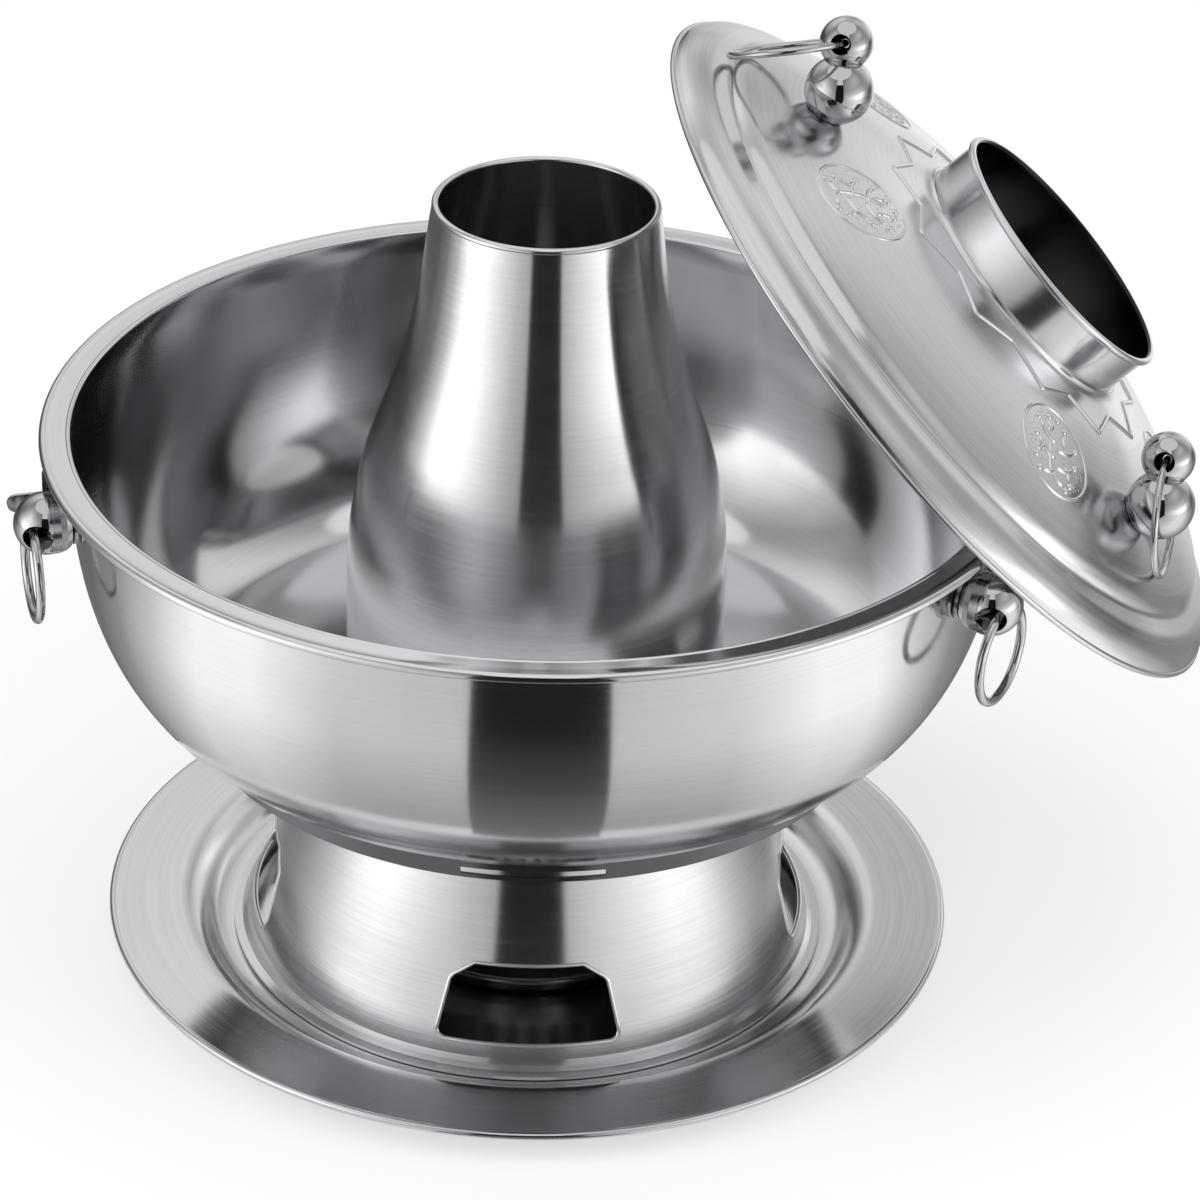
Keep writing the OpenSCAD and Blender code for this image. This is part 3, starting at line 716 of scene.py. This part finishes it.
def steel(name, colour, rough, brushed=0.0, hair=0.0, smudge=0.04, spin_uv=False,
          at=(0, 0, 0), turned=(0, 0, 0), soot=0.0, dark_inside=None):
    """Stainless steel: brushed is the anisotropy, hair the depth of the scratches, smudge the wear."""
    made = blank(name)
    tree = made.node_tree
    radius, height, angle, local = round_axis(tree, at, turned)
    scratch = scratches(tree, radius, height, angle)
    patch = add(tree, "ShaderNodeTexNoise", [("Vector", local)], in_Scale=PATCHES_PER_M,
                in_Detail=3.0).outputs[0]
    # even a polished face has a trace of scratches, and a deeply brushed one has all of them
    scratched = SCRATCH_ROUGHNESS * min(1.0, hair * 4 + 0.1)
    mix = add(tree, "ShaderNodeMath", [(0, scratch)], operation="MULTIPLY", in_1=scratched)
    worn = add(tree, "ShaderNodeMath", [(0, patch)], operation="MULTIPLY", in_1=smudge)
    total = add(tree, "ShaderNodeMath", [(0, mix.outputs[0]), (1, worn.outputs[0])],
                operation="ADD")
    roughness = add(tree, "ShaderNodeMath", [(0, total.outputs[0])], operation="ADD",
                    in_1=rough - scratched / 2 - smudge / 2)
    dark = np.array(srgb(colour))
    dark[:3] *= 1 - GROOVE_DARKENS * hair - SOOT_DARKENS * soot
    tint = add(tree, "ShaderNodeMapRange", [(0, patch if soot else scratch)], in_1=NOISE_LOW,
               in_2=NOISE_HIGH)
    shade = add(tree, "ShaderNodeMix", [(0, tint.outputs[0])], data_type="RGBA",
                in_6=tuple(dark), in_7=srgb(colour)).outputs[2]
    # painted shade: near the axis the colour fades to dark brown
    if dark_inside:
        shade = painted_inner_shade(tree, shade, radius, dark_inside)
    bump = add(tree, "ShaderNodeBump", [("Height", scratch)], in_Strength=hair,
               in_Distance=SCRATCH_DEPTH)
    skin = add(tree, "ShaderNodeBsdfPrincipled", [
        ("Base Color", shade), ("Roughness", roughness.outputs[0]), ("Normal", bump.outputs[0]),
    ], in_Metallic=1.0)
    if brushed:
        skin.inputs["Anisotropic"].default_value = brushed
        skin.inputs["Anisotropic Rotation"].default_value = QUARTER_TURN
        along = add(tree, "ShaderNodeTangent")
        if spin_uv:
            along.direction_type, along.uv_map = "UV_MAP", "UVMap"
        else:
            along.direction_type, along.axis = "RADIAL", "Z"
        tree.links.new(along.outputs[0], skin.inputs["Tangent"])
    add(tree, "ShaderNodeOutputMaterial", [("Surface", skin.outputs[0])])
    return made


print("wear patches:", round(1000 / PATCHES_PER_M), "mm across")

# %% [markdown]
# The lid's scratches run round its own leaning axis, so its material turns the coordinates back with
# the lid's matrix.

# %% Brushed finishes
lid_pose = {"at": tuple(LID_AT * MM), "turned": tuple(Matrix(LID_TURN.tolist()).to_euler("XYZ"))}

# the stand: coarse hairlines spread each light into a broad upright sheen
hairline = steel("hairline_steel", "#D9DADC", 0.19, brushed=0.9, hair=0.16)
# the tube: the same belt, a little finer, so its bright and dark bands keep clear edges
spun_hairline = steel("hairline_steel_spun", "#D9DADC", 0.18, brushed=0.9, hair=0.12, spin_uv=True)
# the tray: smoother again, so that its flange fans the light out in bright and dark wedges
tray_hairline = steel("hairline_steel_tray", "#D9DADC", 0.15, brushed=0.9, hair=0.14, spin_uv=True)
# the lid: a slightly darker silver that glows in one wide patch
lid_hairline = steel("hairline_steel_lid", "#D3D4D6", 0.17, brushed=0.85, hair=0.14, spin_uv=True,
                     **lid_pose)
# the bowl: brushed and then buffed, so it mirrors softly and shows faint long lines
bowl_steel = steel("polished_bowl_steel", "#D8D9DB", 0.12, brushed=0.7, hair=0.07, spin_uv=True)
# the band and the ring under the bowl: darkened, since in its shade they read as one dark line
band_steel = steel("shaded_band_steel", "#6F7073", 0.24, brushed=0.7, hair=0.05)
print("the lid's scratches turn by", [round(math.degrees(x), 1) for x in lid_pose["turned"]], "degrees")

# %% [markdown]
# Balls and rings are polished on a wheel and have no direction. The collar is smooth outside and
# has painted shade inside, and the parts in the fire are dull with soot. Small seats and edges get
# a soft satin, which sets them off from the bright pieces beside them.

# %% Plain finishes
COLLAR_DARK_R = (0.0445, 0.0446)

# the collar: soft silver outside, nearly black inside, which is painted shade, with a clean line between
# at the lip
collar_hairline = steel("hairline_steel_collar", "#D9DADC", 0.18, hair=0.04,
                        dark_inside=COLLAR_DARK_R, **lid_pose)
# pressed lines: a lighter silver than the lid's with hardly a scratch, so that their flanks flash
relief_steel = steel("pressed_relief_steel", "#DADBDD", 0.2, hair=0.05, **lid_pose)
# balls, knobs and rings: sharp mirrors that hold a small picture of the room
mirror_steel = steel("mirror_steel", "#BCBDBF", 0.06, smudge=0.03)
# grate and ledge: burnt, rough and blotched, so they hardly shine
dark_steel = steel("fire_dark_steel", "#6E6A66", 0.42, hair=0.1, smudge=0.2, soot=0.6)
# ash pan: dulled by ash, but still metal
pan_steel = steel("ash_grey_steel", "#9A9896", 0.25, hair=0.1, smudge=0.12, soot=0.3)
# screws, washers and dowels: turned on a lathe, with a grey frosty face
turned_steel = steel("turned_steel", "#BFC0C2", 0.3, hair=0.2)
# deburred edges catch light on their round, and a lighter, softer steel adds a painted highlight, so that
# they shine from every side
highlight_edge_steel = steel("painted_highlight_edge_steel", "#F2F2F2", 0.38)
# seats and necks are satin, which keeps the balls and rings apart from them
satin_steel = steel("satin_steel", "#BBBCBE", 0.2, hair=0.05)
print("inside the collar the steel darkens within", round(COLLAR_DARK_R[0] / MM, 1), "mm of its axis")

# %% [markdown]
# ## Which piece wears which steel
# The CAD nodes get a finish by name. Fasteners are turned, and what isn't named at all is polished:
# balls, knobs and rings, and the four solids that are hidden behind the spun shells. The pieces made
# here then get their own steels.


# %% Finishes on pieces
def dress(piece, made):
    """Gives a piece or a CAD node one material."""
    piece.data.materials.clear()
    piece.data.materials.append(made)


FINISH_OF = {
    "stand_skirt": hairline, "stand_top_ring": band_steel, "foot_band": band_steel,
    "lid_collar": collar_hairline, "ash_pan": pan_steel, "grate_ledge": dark_steel,
    "fire_grate": dark_steel, "handle_seat_l": satin_steel, "handle_seat_r": satin_steel,
    "handle_bracket_l": satin_steel, "handle_bracket_r": satin_steel,
}
FASTENERS = ("screw", "washer", "dowel")
for name, node in nodes.items():
    if name in FINISH_OF:
        dress(node, FINISH_OF[name])
    else:
        dress(node, turned_steel if any(word in name for word in FASTENERS) else mirror_steel)
# the opening edges wear the lighter steel of the painted highlight
dress(opening_edges, highlight_edge_steel)
for piece in (zigzag, medal_borders, medal_sprigs, stipple):
    dress(piece, relief_steel)
for piece, made, slot in (
    (drip_tray, tray_hairline, "hairline_steel"), (fire_tube, spun_hairline, "hairline_steel"),
    (bowl, bowl_steel, "polished_steel"), (lid, lid_hairline, "hairline_steel"),
):
    dress(piece, made)
print(len(bpy.data.materials), "materials")

# %% [markdown]
# ## The studio
# Shiny metal shows its surroundings, so they are the real picture. This studio has three parts that
# can be set one by one: a white world behind everything, lamps that only matt surfaces and shadows
# see, and a ring of reflector cards that only reflections see. The world is full white for what looks
# at it straight or by mirror, and a little over half for the soft light that falls on the floor.

# %% World
SOFT_FILL = 0.55

scene = bpy.context.scene
scene.view_settings.view_transform = "Standard"
world = bpy.data.worlds.new("studio")
scene.world = world
world.use_nodes = True
tree = world.node_tree
tree.nodes.clear()
ray = add(tree, "ShaderNodeLightPath")
seen = add(tree, "ShaderNodeMath", [(0, ray.outputs["Is Camera Ray"]),
                                    (1, ray.outputs["Is Glossy Ray"])], operation="MAXIMUM")
seen = add(tree, "ShaderNodeMath", [(0, seen.outputs[0]),
                                    (1, ray.outputs["Is Transmission Ray"])], operation="MAXIMUM")
strength = add(tree, "ShaderNodeMapRange", [(0, seen.outputs[0])], in_3=SOFT_FILL, in_4=1.0)
back = add(tree, "ShaderNodeBackground", [("Strength", strength.outputs[0])],
           in_Color=srgb("#FFFFFF"))
add(tree, "ShaderNodeOutputWorld", [("Surface", back.outputs[0])])
print("white world, at", SOFT_FILL, "for soft light")

# %% [markdown]
# The floor is pale paper. To the camera it is part matt and part glowing: near the pot it keeps
# its shadow, and farther out it glows more and melts into the white of the room.

# %% Floor
FLOOR_HALF = 3.0
FLOOR_DROP = -0.0004
FADE_FROM, FADE_TO = 0.2, 0.8
GLOW_NEAR, GLOW_FAR = 0.6, 1.0

floor_mesh = bpy.data.meshes.new("floor")
floor_mesh.from_pydata(
    [(-FLOOR_HALF, -FLOOR_HALF, 0), (FLOOR_HALF, -FLOOR_HALF, 0), (FLOOR_HALF, FLOOR_HALF, 0),
     (-FLOOR_HALF, FLOOR_HALF, 0)], [], [(0, 1, 2, 3)],
)
floor = bpy.data.objects.new("floor", floor_mesh)
floor.location.z = FLOOR_DROP
scene.collection.objects.link(floor)
paper = blank("pale_floor")
tree = paper.node_tree
matt = add(tree, "ShaderNodeBsdfDiffuse", in_Color=srgb("#FAFAFA"))
glow = add(tree, "ShaderNodeEmission", in_Color=srgb("#FFFFFF"), in_Strength=1.0)
ray = add(tree, "ShaderNodeLightPath")
where = add(tree, "ShaderNodeTexCoord")
far = add(tree, "ShaderNodeVectorMath", [(0, where.outputs["Object"])], operation="LENGTH")
fade = add(tree, "ShaderNodeMapRange", [(0, far.outputs["Value"])],
           interpolation_type="SMOOTHSTEP", in_1=FADE_FROM, in_2=FADE_TO, in_3=GLOW_NEAR,
           in_4=GLOW_FAR)
share = add(tree, "ShaderNodeMath", [(0, ray.outputs["Is Camera Ray"]), (1, fade.outputs[0])],
            operation="MULTIPLY")
both = add(tree, "ShaderNodeMixShader", [(0, share.outputs[0]), (1, matt.outputs[0]),
                                         (2, glow.outputs[0])])
add(tree, "ShaderNodeOutputMaterial", [("Surface", both.outputs[0])])
floor_mesh.materials.append(paper)
print("floor:", 2 * FLOOR_HALF, "m wide")

# %% [markdown]
# Three large soft lamps light the floor and cast the pot's shadow: left, right and from above. They
# are hidden from reflections, because there the cards take their place.

# %% Lamps
LAMPS_AIM = (0, 0, 0.1)


def lamp(name, at, size, brightness):
    """A soft rectangular lamp whose face has the given radiance: power = radiance x pi x area."""
    data = bpy.data.lights.new(name, "AREA")
    data.shape = "RECTANGLE"
    data.size, data.size_y = size
    data.energy = brightness * math.pi * size[0] * size[1]
    made = bpy.data.objects.new(name, data)
    made.location = at
    made.rotation_euler = (Vector(LAMPS_AIM) - Vector(at)).to_track_quat("-Z", "Y").to_euler()
    made.visible_camera = made.visible_glossy = False
    scene.collection.objects.link(made)
    print(name, round(data.energy, 1), "W")


lamp("lamp_left", (-1.5, -0.7, 1.1), (1.3, 1.6), 3.2)
lamp("lamp_right", (1.5, -0.6, 1.2), (1.3, 1.6), 2.8)
lamp("lamp_top", (0.1, 0.5, 1.9), (1.4, 1.0), 1.7)

# %% [markdown]
# ## Reflector cards
# The cards stand in a ring round the pot and lie on the floor. Only reflections see them. A tone is
# kept at each corner of a card, and Blender blends it in between, like airbrushed board. Each side is
# brightest at about 60 to 75 degrees round from the camera and falls dark past 90 degrees, which
# draws the dark edges that make steel look round.


# %% Card maker
def card(name, points, tones):
    """A grid of corner points [row][column] that glows with the tone kept at each corner."""
    points, tones = np.asarray(points, float), np.asarray(tones, float)
    rows, cols = tones.shape
    quads, _ = grid_faces(rows, cols, False, False)
    mesh = bpy.data.meshes.new(name)
    mesh.from_pydata(points.reshape(-1, 3), [], quads.tolist())
    layer = mesh.color_attributes.new("tone", "FLOAT_COLOR", "POINT")
    layer.data.foreach_set("color", np.repeat(tones.reshape(-1), 4).astype(np.float32))
    board = blank(name)
    tree = board.node_tree
    shade = add(tree, "ShaderNodeAttribute", attribute_name="tone")
    glow = add(tree, "ShaderNodeEmission", [("Color", shade.outputs["Color"])], in_Strength=1.0)
    add(tree, "ShaderNodeOutputMaterial", [("Surface", glow.outputs[0])])
    mesh.materials.append(board)
    made = bpy.data.objects.new(name, mesh)
    made.visible_camera = made.visible_diffuse = made.visible_shadow = False
    made.visible_transmission = made.visible_volume_scatter = False
    scene.collection.objects.link(made)
    print(name, "-", rows, "by", cols, "tones")


def round_pot(bearings, reach, height):
    """Points at the bearings (0 = towards the camera, 90 = right): x = d sin b, y = -d cos b."""
    b = np.radians(np.asarray(bearings, float))
    reach, height = np.broadcast_to(reach, b.shape), np.broadcast_to(height, b.shape)
    return np.stack([reach * np.sin(b), -reach * np.cos(b), height], -1)


print("90 degrees to the right, 1 m away:", round_pot([90], 1, 0)[0].round(3))

# %% [markdown]
# The tones are set against the photograph. A row is one height of the wall or one distance
# on the floor, and its columns are the bearings, from the edge of the dark strip round to the back.
# A tone of 1 is white board, and more than 1 is a lit one. The two sides differ, because the
# reflections on the two sides of the real pot do.

# %% Tones
CARD_BEARINGS = [25, 40, 60, 75, 90, 105, 120, 140, 160, 180]
WALL_HEIGHTS = [0.0, 0.2, 0.4, 0.8, 1.5, 2.1]
FLOOR_REACHES = [0.16, 0.3, 0.45, 1.1, 1.5]
LEFT_WALL = [
    [0.50, 0.72, 1.20, 2.00, 2.20, 0.85, 0.30, 0.12, 0.08, 0.10, 0.10],
    [0.50, 0.72, 1.20, 2.00, 2.50, 1.10, 0.36, 0.12, 0.08, 0.10, 0.10],
    [0.45, 0.66, 1.10, 1.80, 2.00, 1.00, 0.36, 0.15, 0.12, 0.30, 0.30],
    [0.35, 0.60, 1.00, 1.60, 1.20, 0.70, 0.35, 0.30, 0.65, 0.80, 0.85],
    [0.30, 0.45, 0.60, 0.90, 0.90, 0.60, 0.40, 0.50, 0.90, 1.10, 1.10],
    [0.30, 0.35, 0.40, 0.50, 0.50, 0.50, 0.40, 0.40, 0.60, 0.60, 0.60],
]
RIGHT_WALL = [
    [0.62, 0.90, 1.35, 2.10, 2.20, 0.80, 0.26, 0.14, 0.80, 1.00, 0.50],
    [0.62, 0.90, 1.40, 2.10, 2.30, 0.85, 0.26, 0.18, 1.10, 0.95, 0.45],
    [0.50, 0.70, 0.90, 1.10, 1.00, 0.60, 0.42, 0.80, 1.40, 0.70, 0.50],
    [0.35, 0.50, 0.60, 0.62, 0.55, 0.45, 0.50, 0.80, 0.85, 0.45, 0.75],
    [0.30, 0.45, 0.60, 0.80, 0.80, 0.60, 0.40, 0.60, 0.90, 0.70, 0.90],
    [0.30, 0.35, 0.40, 0.50, 0.50, 0.50, 0.40, 0.40, 0.60, 0.60, 0.60],
]
LEFT_FLOOR = [
    [0.42, 0.42, 0.46, 0.70, 0.72, 0.50, 0.32, 0.20, 0.20, 0.20, 0.20],
    [0.74, 0.76, 0.80, 1.28, 1.30, 0.75, 0.34, 0.18, 0.15, 0.12, 0.12],
    [0.70, 0.74, 0.84, 1.35, 1.35, 0.75, 0.32, 0.16, 0.13, 0.12, 0.12],
    [0.58, 0.72, 1.05, 1.55, 1.35, 0.55, 0.20, 0.10, 0.10, 0.10, 0.10],
    [0.55, 0.74, 1.20, 2.00, 2.10, 0.80, 0.28, 0.11, 0.10, 0.10, 0.10],
]
RIGHT_FLOOR = [
    [0.42, 0.42, 0.46, 0.70, 0.72, 0.50, 0.32, 0.20, 0.20, 0.20, 0.20],
    [0.74, 0.78, 0.86, 1.30, 1.30, 0.75, 0.34, 0.20, 0.25, 0.25, 0.12],
    [0.70, 0.78, 0.90, 1.35, 1.35, 0.75, 0.32, 0.30, 0.90, 0.90, 0.20],
    [0.58, 0.80, 1.15, 1.55, 1.35, 0.55, 0.20, 0.30, 1.20, 1.20, 0.40],
    [0.55, 0.90, 1.30, 2.00, 2.10, 0.80, 0.26, 0.14, 1.00, 1.10, 0.50],
]
print("brightest tone:", max(map(max, LEFT_WALL + RIGHT_WALL + LEFT_FLOOR + RIGHT_FLOOR)))

# %% [markdown]
# Between the two sides, straight in front of the pot, a strip of dark cards runs along the floor and
# up. It draws the dark upright stripe in the middle of bowl, tube, stand and tray.

# %% Cards
CARD_REACH, CARD_TOP_REACH = 1.5, 1.2
FLOOR_CARD_LIFT, STRIP_LIFT = 0.001, 0.002
STRIP_EDGES = np.array([-13.0, 14.5])
STRIP_REACHES = (0.15, 0.25, 0.35, CARD_REACH)
STRIP_TONES = [[0.22, 0.22], [0.08, 0.08], [0.02, 0.02], [0.015, 0.015]]
STRIP_HEIGHTS = (0.0, 1.5)
STRIP_DARK = 0.015

# the top row stands nearer, so that the walls lean in over the pot
wall_reaches = [CARD_REACH] * (len(WALL_HEIGHTS) - 1) + [CARD_TOP_REACH]
for side, sign, strip_edge, wall_tones, floor_tones in (
    ("left", -1, -STRIP_EDGES[0], LEFT_WALL, LEFT_FLOOR),
    ("right", 1, STRIP_EDGES[1], RIGHT_WALL, RIGHT_FLOOR),
):
    bearings = np.array([strip_edge, *CARD_BEARINGS]) * sign
    walls = [round_pot(bearings, reach, h) for reach, h in zip(wall_reaches, WALL_HEIGHTS)]
    card("wall_card_" + side, walls, wall_tones)
    floors = [round_pot(bearings, reach, FLOOR_CARD_LIFT) for reach in FLOOR_REACHES]
    card("floor_card_" + side, floors, floor_tones)
card("dark_card_floor", [round_pot(STRIP_EDGES, reach, STRIP_LIFT) for reach in STRIP_REACHES],
     STRIP_TONES)
card("dark_card_wall", [round_pot(STRIP_EDGES, CARD_REACH, h) for h in STRIP_HEIGHTS],
     np.full((2, 2), STRIP_DARK))
